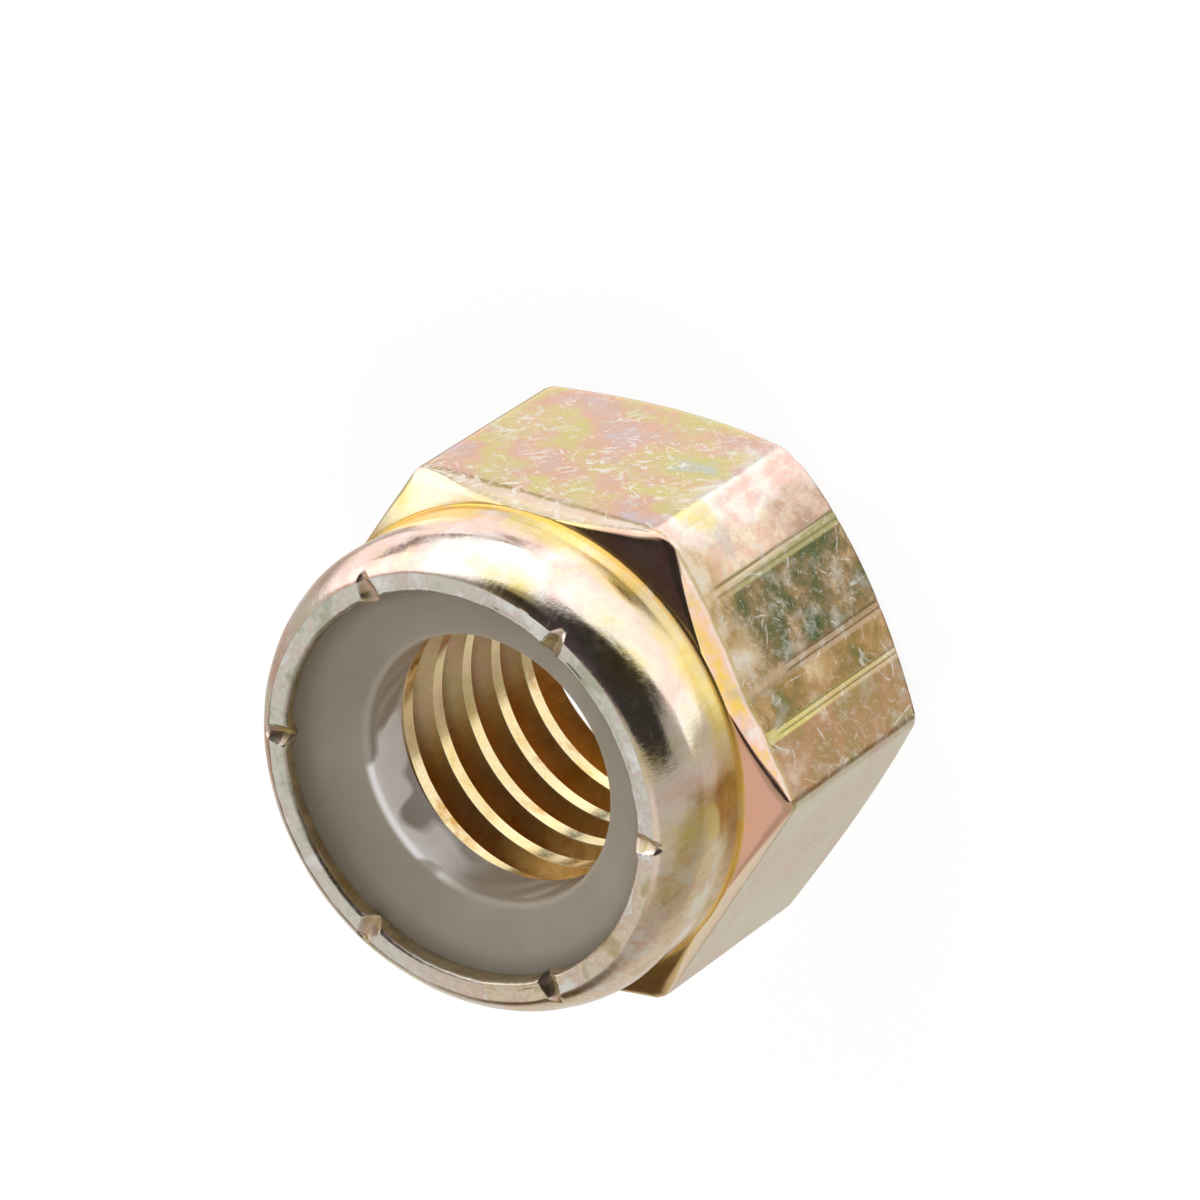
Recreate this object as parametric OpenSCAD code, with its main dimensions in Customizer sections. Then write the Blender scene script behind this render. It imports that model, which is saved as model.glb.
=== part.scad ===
// Hexagonal lock nut with a plastic locking ring crimped into its collar.
// The bearing face lies on z = 0, the bore runs along z and the collar points up.
// Two of the hexagon's corners lie on the x axis.

/* [Hexagon] */
// Width across the flats
flat_w = 18.95; // [18.6:0.05:19.3]
// Width across the blunted corners
corner_w = 21.66; // [21.2:0.02:21.8]
// Length of a corner edge between the two chamfers
corner_h = 8.9; // [7:0.1:12]
// Diameter of the flat bearing face
bearing_d = 18; // [17:0.1:18.6]
// Slope of both chamfers
chamfer_angle = 30; // [20:1:40]
// Drop from the upper chamfer's highest point on a flat to the crease below it
crease_drop = 1.2; // [0.6:0.1:2]
// Inward lean of the facet above the crease
facet_angle = 7; // [2:1:9]

/* [Thread] */
// Nominal diameter of the bolt
thread_d = 12.7; // [12:0.1:13.4]
// Diameter of the bore at the thread's crests
minor_d = 11; // [10.6:0.05:11.4]
// How much wider than the bolt the bore's mouth is
entry_extra = 0.6; // [0.2:0.1:1.2]

/* [Collar] */
// Diameter of the ledge where the upper chamfer ends
ledge_d = 18.6; // [18.4:0.02:18.7]
// Diameter of the collar just above the ledge
neck_d = 18.24; // [18:0.02:18.36]
// Widest diameter of the collar
collar_d = 18.86; // [18.6:0.02:19.2]
// Height of the collar above the ledge
collar_h = 4.48; // [4.2:0.02:6]
// Height of the hollow fillet at the collar's foot
foot_h = 0.4; // [0.2:0.05:0.6]
// Height of the rounded shoulder below the rim
shoulder_h = 1.95; // [1.4:0.05:2.2]
// Fullness of the shoulder, where 1 is a plain cone and 2 a true ellipse
shoulder_power = 1.6; // [1.3:0.1:2.4]
// Outer diameter of the flat rim
rim_d = 16.78; // [16.4:0.02:17.2]
// Diameter of the opening inside the rim
lip_d = 15.34; // [14.8:0.02:15.6]
// Depth of the lip's straight inner wall
lip_depth = 1.15; // [1:0.05:1.3]
// Height over which the lip's inside widens to the pocket
lip_flare_h = 0.6; // [0.3:0.05:0.8]
// Blunting of the lip's edge
lip_edge = 0.12; // [0.05:0.01:0.2]

/* [Crimp notches] */
// Number of notches across the rim
notch_count = 6; // [4:1:8]
// Width of a notch at the rim's surface
notch_w = 0.8; // [0.5:0.05:1.2]
// Depth of a notch below the rim
notch_depth = 0.45; // [0.2:0.05:0.6]

/* [Locking ring] */
// Diameter of the pocket that holds the ring
pocket_d = 16.3; // [16:0.02:16.6]
// Height of the ring's seat above the bearing face
seat_h = 11.2; // [10.9:0.1:11.6]
// Diameter of the ring's hole
ring_hole_d = 10.5; // [10.2:0.05:10.8]
// Drop from the rim to where the ring's face meets the lip
ring_drop = 0.9; // [0.7:0.05:0.95]
// Further drop of the ring's face at its hole
ring_dish = 0.9; // [0.4:0.05:1.1]
// Rounding of the hole's upper edge
ring_edge_r = 0.35; // [0.1:0.05:0.5]
// Gap between the ring and the metal round it
ring_gap = 0.02; // [0.01:0.01:0.05]

/* [Hidden] */
$fn = 96;
sides = 6;
side_angle = 360 / sides;
// Steps along a curved stretch of an outline
arc_steps = 12;
// How far a cutter runs past the surface it cuts
past = 1;
// How much steeper the ring's face grows from its hole to the lip
dish_power = 1.8;

flat_r = flat_w / 2;
corner_r = corner_w / 2;
bearing_r = bearing_d / 2;
ledge_r = ledge_d / 2;
neck_r = neck_d / 2;
collar_r = collar_d / 2;
rim_r = rim_d / 2;
lip_r = lip_d / 2;
pocket_r = pocket_d / 2;
minor_r = minor_d / 2;
entry_r = thread_d / 2 + entry_extra / 2;
ring_hole_r = ring_hole_d / 2;

corner_bottom_z = (corner_r - bearing_r) * tan(chamfer_angle);
corner_top_z = corner_bottom_z + corner_h;
ledge_z = corner_top_z + (corner_r - ledge_r) * tan(chamfer_angle);
flat_top_z = corner_top_z + (corner_r - flat_r) * tan(chamfer_angle);
crease_z = flat_top_z - crease_drop;
rim_z = ledge_z + collar_h;
neck_z = ledge_z + foot_h;
shoulder_z = rim_z - shoulder_h;
lip_base_z = rim_z - lip_depth;
flare_base_z = lip_base_z - lip_flare_h;
ring_face_z = rim_z - ring_drop;
ring_top_z = ring_face_z - ring_dish;

// Hollow fillet from the ledge's edge in to the collar's foot
function foot_curve() = [
    for (i = [0 : arc_steps]) let (a = 90 * i / arc_steps)
        [ledge_r - (ledge_r - neck_r) * sin(a), ledge_z + foot_h * (1 - cos(a))]
];

// Wall that swells from the foot to the widest ring
function wall_curve() = [
    for (i = [1 : arc_steps - 1]) let (t = i / arc_steps)
        [neck_r + (collar_r - neck_r) * sin(90 * t), neck_z + (shoulder_z - neck_z) * t]
];

// Crimped shoulder from the widest ring in to the flat rim
function shoulder_curve() = [
    for (i = [0 : arc_steps]) let (a = 90 * i / arc_steps)
        [rim_r + (collar_r - rim_r) * pow(cos(a), 2 / shoulder_power),
         rim_z - shoulder_h + shoulder_h * pow(sin(a), 2 / shoulder_power)]
];

// Outline of the round blank before its six flats
function blank_outline() = concat(
    [[0, 0], [bearing_r, 0], [corner_r, corner_bottom_z], [corner_r, corner_top_z]],
    foot_curve(),
    wall_curve(),
    shoulder_curve(),
    [[0, rim_z]]
);

// Outline of the pocket, from its seat up through the lip
function pocket_outline() = [
    [0, seat_h],
    [pocket_r, seat_h],
    [pocket_r, flare_base_z],
    [lip_r, lip_base_z],
    [lip_r, rim_z - lip_edge],
    [lip_r + lip_edge + past, rim_z + past],
    [0, rim_z + past]
];

// Dished face of the ring, from the lip in to the rounded edge of its hole
function ring_face_curve() = [
    for (i = [0 : arc_steps]) let (t = 1 - i / arc_steps)
        [ring_hole_r + ring_edge_r + (lip_r - ring_gap - ring_hole_r - ring_edge_r) * t,
         ring_top_z + ring_dish * pow(t, dish_power)]
];

// Rounded upper edge of the ring's hole
function ring_edge_curve() = [
    for (i = [1 : arc_steps]) let (a = 90 * i / arc_steps)
        [ring_hole_r + ring_edge_r * (1 - sin(a)), ring_top_z - ring_edge_r * (1 - cos(a))]
];

// Outline of the ring, which fills the pocket up to the lip
function ring_outline() = concat(
    [[ring_hole_r, seat_h + ring_gap],
     [pocket_r - ring_gap, seat_h + ring_gap],
     [pocket_r - ring_gap, flare_base_z - ring_gap],
     [lip_r - ring_gap, lip_base_z - ring_gap]],
    ring_face_curve(),
    ring_edge_curve()
);

// Space outside one flat, from below the nut up to the ledge
module flat_cutter() {
    translate([flat_r, -corner_r, -past])
        cube([corner_r, corner_w, ledge_z + past]);
}

// Space outside the facet that leans in above the crease
module facet_cutter() {
    intersection() {
        translate([flat_r, 0, crease_z])
            rotate([0, -facet_angle, 0])
                translate([0, -corner_r, 0])
                    cube([corner_r, corner_w, corner_h]);
        translate([0, -corner_w, crease_z])
            cube([corner_w, 2 * corner_w, ledge_z - crease_z]);
    }
}

// One notch, a wedge that runs out where the shoulder falls away
module notch_cutter() {
    slope = notch_w / 2 / notch_depth;
    translate([0, 0, rim_z - notch_depth])
        rotate([90, 0, 90])
            linear_extrude(height = collar_r)
                polygon([
                    [0, 0],
                    [slope * (notch_depth + past), notch_depth + past],
                    [-slope * (notch_depth + past), notch_depth + past]
                ]);
}

// Bore at the thread's crests, with a mouth that guides the bolt in
module thread_bore() {
    translate([0, 0, -past])
        cylinder(d = minor_d, h = seat_h + 2 * past);
    translate([0, 0, -past])
        cylinder(r1 = entry_r + past, r2 = minor_r, h = entry_r - minor_r + past);
}

// Steel nut: hexagon, chamfers, crimped collar and bore in one piece
module nut_body() {
    color("#C9AE78")
        difference() {
            rotate_extrude()
                polygon(blank_outline());
            for (i = [0 : sides - 1])
                rotate([0, 0, side_angle * (i + 0.5)]) {
                    flat_cutter();
                    facet_cutter();
                }
            for (i = [0 : notch_count - 1])
                rotate([0, 0, 360 / notch_count * i])
                    notch_cutter();
            rotate_extrude()
                polygon(pocket_outline());
            thread_bore();
        }
}

// Plastic ring whose hole is smaller than the bolt
module locking_ring() {
    color("#B5AFA2")
        rotate_extrude()
            polygon(ring_outline());
}

nut_body();
locking_ring();
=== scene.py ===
import math

import bmesh
import bpy
from mathutils import Matrix, Vector, noise


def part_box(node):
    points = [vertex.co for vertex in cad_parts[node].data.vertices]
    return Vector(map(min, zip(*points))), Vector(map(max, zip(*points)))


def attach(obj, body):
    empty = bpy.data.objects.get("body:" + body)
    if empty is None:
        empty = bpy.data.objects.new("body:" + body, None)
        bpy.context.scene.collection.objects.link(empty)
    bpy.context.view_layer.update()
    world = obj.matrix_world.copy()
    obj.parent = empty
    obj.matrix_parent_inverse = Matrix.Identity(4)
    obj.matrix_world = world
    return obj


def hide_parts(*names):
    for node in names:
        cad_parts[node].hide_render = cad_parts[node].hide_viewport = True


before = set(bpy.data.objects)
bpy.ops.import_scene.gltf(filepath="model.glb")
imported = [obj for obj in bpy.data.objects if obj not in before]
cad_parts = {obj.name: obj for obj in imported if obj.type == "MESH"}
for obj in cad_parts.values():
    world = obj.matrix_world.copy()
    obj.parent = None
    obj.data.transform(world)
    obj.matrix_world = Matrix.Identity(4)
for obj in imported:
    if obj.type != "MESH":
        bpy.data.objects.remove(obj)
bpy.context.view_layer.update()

# Every size below is in millimetres, and one step turns each finished mesh to metres
MM = 0.001
NUT_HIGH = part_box("nut_body")[1]
RING_LOW, RING_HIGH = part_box("locking_ring")

# Hexagon, with two of its corners on the X axis and the bearing face on z = 0
SIDES = 6
SIDE_ANGLE = math.tau / SIDES
FLAT_R = NUT_HIGH.y / MM
CORNER_R = NUT_HIGH.x / MM
SHARP_R = FLAT_R / math.cos(math.radians(30))
BEARING_R = 9.0
CHAMFER_SLOPE = math.tan(math.radians(30))
CORNER_EDGE = 8.9
CORNER_BOTTOM_Z = (CORNER_R - BEARING_R) * CHAMFER_SLOPE
CORNER_TOP_Z = CORNER_BOTTOM_Z + CORNER_EDGE
CREASE_DROP = 1.2
FACET_SLOPE = math.tan(math.radians(7))
CREASE_Z = CORNER_TOP_Z + (CORNER_R - FLAT_R) * CHAMFER_SLOPE - CREASE_DROP

# Rounding of the corner edges, and how much more wear rounds them
CORNER_ROUND = 0.5
CORNER_WEAR = 0.2
# Paces of the slow and quick changes in that wear along an edge, and the slow one's share
WEAR_PACE = 0.45
WEAR_RIPPLE_PACE = 1.6
WEAR_SHARE = 0.75
# The corner at 60 degrees is worn rounder than the others
WORN_CORNER = 1
WORN_ROUND = 1.1
WORN_WEAR = 0.6
# Wear slides the foot of a flat down the lower chamfer, and the slide fades between these heights above it
SETTLE_START = 0.2
SETTLE_END = 1.0
# How far the upper chamfer's edge is broken, at the middle of a flat and at a corner
FLAT_BREAK = 0.1
CORNER_BREAK = 0.6
# Fillets between the faces, from the bore's mouth up to the ledge
MOUTH_ROUND = 0.12
BEARING_ROUND = 0.3
FLAT_FOOT_ROUND = 0.2
CREASE_ROUND = 0.12
LEDGE_ROUND = 0.04
# A fillet takes no more than this share of the run beside it
FILLET_LIMIT = 0.45
# Edges past these angles stay sharp, in degrees
NUT_SHARP = 32
RING_SHARP = 40

# Collar, crimped in to a flat rim over the locking ring
RIM_Z = NUT_HIGH.z / MM
LEDGE_R = 9.4
LEDGE_Z = CORNER_TOP_Z + (CORNER_R - LEDGE_R) * CHAMFER_SLOPE
NECK_R = 9.28
COLLAR_R = 9.43
FOOT_H = 0.5
FOOT_STEPS = 8
WALL_STEPS = 14
SHOULDER_H = 1.95
SHOULDER_POWER = 1.6
SHOULDER_STEPS = 20
RIM_R = 8.39
RIM_ROUND = 0.24
LIP_R = 7.67
LIP_ROUND = 0.2
LIP_BASE_ROUND = 0.1
LIP_DEPTH = 1.15
LIP_FLARE = 0.6
# The lip's inside is painted a darker, duller straw, as shade under the rim, from this far below the rim
LIP_SHADE = 0.22

# Crimp notches in line with the corners, which run out on the shoulder
NOTCH_HALF_W = 0.46
NOTCH_DEPTH = 0.44
NOTCH_END_R = 8.74
# Powers by which a notch narrows and grows shallow towards its outer end
NOTCH_NARROWING = 0.4
NOTCH_SHALLOWING = 0.8
# Where a notch is deeper than this, its face has the film of the struck metal
NOTCH_FACE = 0.1
# Metal that each notch's punch has pushed inwards below it
TOOTH_REACH = 0.22
TOOTH_HALF_W = 0.34
TOOTH_H = 0.45

# Locking ring, its seat and the bore
RING_R = RING_HIGH.x / MM
RING_GAP = 0.02
POCKET_R = RING_R + RING_GAP
SEAT_Z = RING_LOW.z / MM - RING_GAP
RING_HOLE_R = 5.25
RING_DROP = 0.9
RING_DISH = 0.9
DISH_POWER = 1.8
RING_EDGE = 0.35
RING_FACE_STEPS = 24
RING_EDGE_STEPS = 8
RING_SPIN_STEPS = 240
# The crimp has pressed the ring's outer edge up on the side of this heading, and the power keeps it there
RING_SWELL = 0.42
SWELL_HEADING = math.radians(172)
SWELL_POWER = 4
CREST_R = 5.5
MOUTH_R = 6.65

# Right-hand thread, 13 turns to the inch
PITCH = 25.4 / 13
CREST_FLAT = 0.58
ROOT_ROUND = 0.28
ROOT_STEPS = 4
FLANK_ANGLE = math.radians(60)
# Small bevel between a crest and its flanks
CREST_BEVEL = 0.03
# Height of one crest's middle above the bearing face, on the X axis
CREST_Z = 1.58
TURN_STEPS = 96
THREAD_TURNS = 9
TURNS_BELOW = 2
CUTTER_PAST = 0.3

# Columns of the nut's mesh, and how much closer they stand at the corners than at the middle of a flat
EVEN_COLUMNS = 432
CROWDING = 0.6
FLAT_ROWS = 44

# Die lines along the flat that faces 30 degrees: from and to across the flat, depth, start and end height
DRAWN_FLAT = math.radians(30)
DIE_BANDS = [(2.36, 3.0, 0.03, -1.0, 9.0), (-1.3, -0.78, 0.03, -1.0, 7.0), (-3.05, -2.6, 0.025, -1.0, 9.0)]
BAND_GROOVES = 2
BAND_COLUMNS = 10
BAND_EDGE = 0.07
BAND_FADE = 0.4
# Depth between the grooves of a band, as a share of the grooves' own depth
BAND_FLOOR = 0.3
# That flat falls away towards the worn corner, from a wandering line on
FALL_START = 3.2
FALL_WANDER = 0.45
FALL_DEPTH = 0.24
FALL_POWER = 1.2
# On the next flat the fall ends at this distance from the flat's middle
FALL_END = 4.4

# Swells that forming leaves in each surface: their depth, and how closely they follow each other
FLAT_WAVES = (0.018, 0.32)
FOOT_WAVES = (0.02, 0.6)
COLLAR_WAVES = (0.03, 0.6)
ROLLING_WAVES = (0.045, 1.0)
ROLLING_RIPPLES = (0.016, 2.9)
RIM_WAVES = (0.03, 0.9)
LIP_WAVES = (0.05, 0.8)
# Rolling marks run round the collar: how closely they change round it, and across it
ROLLING_ROUND = 3.2
ROLLING_ACROSS = 1.7
# The rim's edges are ragged, in and out and downwards
RAGGED_OUT = (0.025, 2.3)
RAGGED_DOWN = (0.025, 1.7)

# Marks in the plating. The real grain, a few thousandths of a millimetre, is drawn coarser so that it shows
GRAIN_SIZE = 0.16
STREAK_SIZE = 0.3
# Grain and streaks added together run from about the first of these to the second
GRAIN_LOW = 0.7
GRAIN_HIGH = 1.3
WANDER_SIZE = 1.6
HAZE_SIZE = 1.3
HAZE_TONE = "#DAD7CB"
# Layers of curled scuffs: size of the curl, seed, and half width of a line as a share of the noise
SCUFF_CURLS = ((5.0, 0.0, 0.004), (3.6, 5.0, 0.005), (2.4, 11.0, 0.007), (1.7, 17.0, 0.009))
SCUFF_BREAKS = 0.8
SCUFF_TONE = "#F3EEE2"
# Handling strokes run in two ways, are drawn out along their run and stand in clusters
STROKE_TURNS = ((0.2, 0.85, 0.0), (0.0, -0.5, 1.1))
STROKE_STRETCH = (5.0, 1.2, 1.0)
STROKE_SIZE = 0.25
STROKE_CLUSTER = 2.2
SPECK_SIZE = 0.3
MARK_ROUGHNESS = 0.5

# Headings across the nut that its finishes, and the shade and highlights painted into them, are told by
UP = (0, 0, 1)
SIDE_TANGENT = (-math.sin(DRAWN_FLAT), math.cos(DRAWN_FLAT), 0)
SHADED_HEADING = (math.cos(DRAWN_FLAT), -math.sin(DRAWN_FLAT), 0)
WORN_HEADING = (math.cos(SIDE_ANGLE), math.sin(SIDE_ANGLE), 0)
SHADE_BLOTCH_HEADING = (0.62, -0.78, 0)
# Where highlights are painted on the wall of the ring's hole, and where they fade back to its dull grey
HOLE_HIGHLIGHT_HEADING = (-0.55, -0.84, 0)
HIGHLIGHT_FADE_HEADING = (0.63, -0.77, 0)
# Pale, pink and grey blotches, painted shade on the side of the collar and rim that faces away from the
# light
SHADE_BLOTCHES = [(0.38, "#C4AE84"), (0.46, "#E2D0B4"), (0.53, "#DABCA8"), (0.6, "#E4E2DA")]
# Place of each zone's finish in nut_finishes
ZONE_FINISH = {
    "flat": 0, "bearing": 1, "chamfer": 1, "foot": 2, "wall": 2, "shoulder": 2,
    "rim": 3, "lip": 3, "pocket": 4, "bore": 4, "lined flat": 5, "notch": 6, "lip wall": 7,
}

# Camera: a long lens that looks down on the nut as it would lie on a flat, with its +Y side up
CAMERA_PLACE = (161.01, 147.42, 258.3)
CAMERA_AIM = (-3.758, 0.529, 0.0)
CAMERA_ROLL = 0.6
CAMERA_LENS = 270

# Parts of the tent as heading (right, up, towards the viewer), half width and edge in degrees, colour, level
TENT_BASE = ("#E8E0D6", 0.5)
TENT_PARTS = [
    ((0.39, 0.17, 0.905), 45, 7, "#686260", 0.26),
    ((-0.49, 0.04, 0.87), 24, 8, "#7E6A74", 0.3),
    ((-0.5, 0.4, 0.77), 12, 6, "#5E5A56", 0.3),
    ((0.0, 0.572, -0.82), 90, 5, "#FFFFFF", 1.16),
    ((-0.8, 0.6, 0.1), 24, 12, "#FFFFFF", 1.5),
    ((0.08, 0.99, -0.1), 20, 14, "#FFFFFF", 1.5),
    ((-0.01, -0.902, -0.432), 93, 4, "#E6DCCF", 0.62),
    ((0.3, -0.3, -0.92), 40, 14, "#F6F0E6", 0.8),
    ((-0.09, -0.78, 0.62), 16, 8, "#FFF0EA", 0.72),
    ((-0.31, -0.90, -0.30), 16, 10, "#A08A6C", 0.4),
    ((-0.82, -0.55, 0.16), 26, 12, "#F4F4F2", 0.92),
]
# Thin dark gap between two panels: its middle, half length and edge, then its pole, half width and edge
TENT_GAP = ((-0.26, 0.82, -0.51), 23, 5, (0.0, 0.545, 0.839), 3.2, 1.4, "#6A6258", 0.08)

# Paper under the nut, set this far below the bearing face, so that the two never share a plane
FLOOR_GAP = 0.02
FLOOR_HALF = 2000
# How much of the paper's white is its own, whatever falls on it
FLOOR_WHITE = 0.93

# Lamps over and before the nut: name, place, width and watts
SOFTBOXES = [
    ("overhead", (-60, 240, 120), 220, 0.35),
    ("front", (110, -40, 270), 200, 0.5),
]

# Colour sockets of a Mix node, which share their names with its other sockets
UNDER, OVER, MIXED = 6, 7, 2


def along(a, b, t):
    """The value that lies the share t of the way from a to b."""
    return a + (b - a) * t


def smooth_step(low, high, x):
    """A share that eases from 0 to 1 as x goes from low to high."""
    t = min(max((x - low) / (high - low), 0), 1)
    return t * t * (3 - 2 * t)


def waver(spot):
    """A share from 0 to 1 that drifts smoothly from place to place."""
    return 0.5 + 0.5 * noise.noise(spot)


def waved(waves, spot):
    """How far a surface lies below its neat shape, from the depth and pace of its waves."""
    depth, pace = waves
    return depth * waver(spot * pace)


def bent_path(stops):
    """Rows (r, z, zone) of a closed outline. A stop is r, z, fillet length, fillet rows, run rows, zone."""
    rows = []
    count = len(stops)
    points = [Vector(stop[:2]) for stop in stops]
    starts, ends = [], []
    for i, stop in enumerate(stops):
        back = points[i - 1] - points[i]
        ahead = points[(i + 1) % count] - points[i]
        starts.append(points[i] + back.normalized() * min(stop[2], back.length * FILLET_LIMIT))
        ends.append(points[i] + ahead.normalized() * min(stop[2], ahead.length * FILLET_LIMIT))
    for i, (_, _, _, fillet_rows, run_rows, zone) in enumerate(stops):
        for k in range(fillet_rows):
            t = k / (fillet_rows - 1) if fillet_rows > 1 else 0.5
            near = starts[i].lerp(points[i], t)
            far = points[i].lerp(ends[i], t)
            rows.append((*near.lerp(far, t), zone))
        following = starts[(i + 1) % count]
        for k in range(run_rows):
            rows.append((*ends[i].lerp(following, (k + 1) / (run_rows + 1)), zone))
    return rows


def hexagon_r(theta, rounding):
    """Distance from the axis to the hexagon with rounded corners."""
    from_corner = abs((theta + SIDE_ANGLE / 2) % SIDE_ANGLE - SIDE_ANGLE / 2)
    across = FLAT_R * math.tan(SIDE_ANGLE / 2 - from_corner)
    if across < SHARP_R / 2 - rounding * math.tan(SIDE_ANGLE / 2):
        return FLAT_R / math.cos(SIDE_ANGLE / 2 - from_corner)
    centre = SHARP_R - rounding / math.cos(SIDE_ANGLE / 2)
    side = centre * math.sin(from_corner)
    return min(centre * math.cos(from_corner) + math.sqrt(rounding ** 2 - side ** 2), CORNER_R)


def corner_shape(theta):
    """Rounding of the nearest corner, how much further wear rounds it, and the corner's number."""
    corner = round(theta / SIDE_ANGLE) % SIDES
    if corner == WORN_CORNER:
        return WORN_ROUND, WORN_WEAR, corner
    return CORNER_ROUND, CORNER_WEAR, corner


def collar_stops():
    """The collar, its lip, the ring's pocket and the bore, which are the same all round."""
    stops = []
    for k in range(1, FOOT_STEPS + 1):
        a = math.radians(90) * k / FOOT_STEPS
        r = LEDGE_R - (LEDGE_R - NECK_R) * math.sin(a)
        stops.append((r, LEDGE_Z + FOOT_H * (1 - math.cos(a)), 0, 1, 0, "foot"))
    neck_z = LEDGE_Z + FOOT_H
    shoulder_z = RIM_Z - SHOULDER_H
    for k in range(1, WALL_STEPS):
        t = k / WALL_STEPS
        r = along(NECK_R, COLLAR_R, math.sin(math.radians(90) * t))
        stops.append((r, along(neck_z, shoulder_z, t), 0, 1, 0, "wall"))
    for k in range(SHOULDER_STEPS):
        a = math.radians(90) * k / SHOULDER_STEPS
        r = RIM_R + (COLLAR_R - RIM_R) * math.cos(a) ** (2 / SHOULDER_POWER)
        z = shoulder_z + SHOULDER_H * math.sin(a) ** (2 / SHOULDER_POWER)
        stops.append((r, z, 0, 1, 0, "shoulder"))
    return stops + [
        (RIM_R, RIM_Z, RIM_ROUND, 5, 5, "rim"),
        (LIP_R, RIM_Z, LIP_ROUND, 7, 5, "lip"),
        (LIP_R, RIM_Z - LIP_DEPTH, LIP_BASE_ROUND, 3, 2, "lip"),
        (POCKET_R, RIM_Z - LIP_DEPTH - LIP_FLARE, 0, 1, 1, "pocket"),
        (POCKET_R, SEAT_Z, 0, 1, 1, "pocket"),
        (CREST_R, SEAT_Z, 0, 1, 0, "bore"),
        (CREST_R, MOUTH_R - CREST_R, 0, 1, 1, "bore"),
    ]


def nut_rows(theta, collar):
    """Rows of the nut's outline in the half plane at angle theta."""
    rounding, _, corner = corner_shape(theta)
    side_r = hexagon_r(theta, rounding)
    neat_top_z = CORNER_TOP_Z + (CORNER_R - side_r) * CHAMFER_SLOPE
    rise = (neat_top_z - CREASE_Z) / (1 - FACET_SLOPE * CHAMFER_SLOPE)
    nearness = (side_r - FLAT_R) / (hexagon_r(corner * SIDE_ANGLE, rounding) - FLAT_R)
    top_break = along(FLAT_BREAK, CORNER_BREAK, nearness ** 2)
    stops = [
        (MOUTH_R, 0, MOUTH_ROUND, 3, 3, "bearing"),
        (BEARING_R, 0, BEARING_ROUND, 5, 4, "chamfer"),
        (side_r, foot_z(theta), FLAT_FOOT_ROUND, 5, FLAT_ROWS, "flat"),
        (side_r, CREASE_Z, CREASE_ROUND, 4, 4, "flat"),
        (side_r - rise * FACET_SLOPE, CREASE_Z + rise, top_break, 7, 6, "chamfer"),
        (LEDGE_R, LEDGE_Z, LEDGE_ROUND, 2, 0, "foot"),
    ]
    return bent_path(stops + collar)


def column_angles():
    """Angles of the columns, crowded towards the corners and at the die lines."""
    angles = []
    for i in range(EVEN_COLUMNS):
        turn = i / EVEN_COLUMNS * SIDES
        within = turn % 1
        shifted = within - CROWDING * math.sin(math.tau * within) / math.tau
        angles.append((turn - within + shifted) * SIDE_ANGLE)
    for low, high, *_ in DIE_BANDS:
        for edge in (low, high):
            for step in (-1.5, -0.5, 0.5, 1.5):
                angles.append(DRAWN_FLAT + math.atan2(edge + step * BAND_EDGE, FLAT_R))
        for k in range(BAND_COLUMNS):
            t = along(low, high, (k + 0.5) / BAND_COLUMNS)
            angles.append(DRAWN_FLAT + math.atan2(t, FLAT_R))
    return sorted(angles)


def corner_wear(theta, z):
    """How far a rounded corner lies below its neat shape, which varies along the edge."""
    rounding, wear, corner = corner_shape(theta)
    slow = waver(Vector((z * WEAR_PACE, corner * 7.3, 1.7)))
    quick = waver(Vector((z * WEAR_RIPPLE_PACE, corner * 3.1, 8.2)))
    worn = rounding + wear * along(quick, slow, WEAR_SHARE)
    return hexagon_r(theta, rounding) - hexagon_r(theta, worn)


def die_line_depth(band, t, z):
    """Depth of one band of die lines, at a distance from the middle of the flat and a height."""
    low, high, depth, start_z, end_z = band
    inside = smooth_step(low - BAND_EDGE, low + BAND_EDGE, t)
    inside *= smooth_step(-high - BAND_EDGE, -high + BAND_EDGE, -t)
    lengthwise = smooth_step(start_z - BAND_FADE, start_z, z) * smooth_step(-end_z, BAND_FADE - end_z, -z)
    groove = 0.5 - 0.5 * math.cos(math.tau * BAND_GROOVES * (t - low) / (high - low))
    return depth * inside * lengthwise * along(BAND_FLOOR, 1, groove)


def drawn_depth(theta, z):
    """How far the die lines and the worn side lie below the flat that faces 30 degrees."""
    turn = theta - DRAWN_FLAT
    if turn < -SIDE_ANGLE / 2 or turn > SIDE_ANGLE * 0.75:
        return 0
    if turn > SIDE_ANGLE / 2:
        past_corner = FLAT_R * math.tan(SIDE_ANGLE - turn)
        return FALL_DEPTH * max((past_corner - FALL_END) / (SHARP_R / 2 - FALL_END), 0) ** 2
    t = FLAT_R * math.tan(turn)
    start = FALL_START + FALL_WANDER * noise.noise(Vector((z * 0.8, 3.3, 0.4)))
    fall = FALL_DEPTH * max((t - start) / (SHARP_R / 2 - start), 0) ** FALL_POWER
    return fall + sum(die_line_depth(band, t, z) for band in DIE_BANDS)


def foot_z(theta):
    """Height at which the neat flat or corner edge meets the lower chamfer."""
    return (hexagon_r(theta, corner_shape(theta)[0]) - BEARING_R) * CHAMFER_SLOPE


def foot_share(theta):
    """How much of the lower chamfer's width is left below a worn flat or corner edge."""
    low_z = foot_z(theta)
    wear = corner_wear(theta, low_z) + drawn_depth(theta, low_z)
    return 1 - wear * CHAMFER_SLOPE / low_z


def from_notch(theta, r):
    """Distance along the circle of radius r from the line of the nearest notch."""
    return r * ((theta + SIDE_ANGLE / 2) % SIDE_ANGLE - SIDE_ANGLE / 2)


def notch_depth(theta, r):
    """Depth, at a point of the rim, of the crimping notch nearest to it."""
    u = abs(from_notch(theta, r))
    taper = min(max((NOTCH_END_R - r) / (NOTCH_END_R - LIP_R), 0), 1)
    half = NOTCH_HALF_W * taper ** NOTCH_NARROWING
    if u >= half:
        return 0
    close = 1 - u / half
    return NOTCH_DEPTH * taper ** NOTCH_SHALLOWING * close * (1.5 - 0.5 * close)


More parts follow.
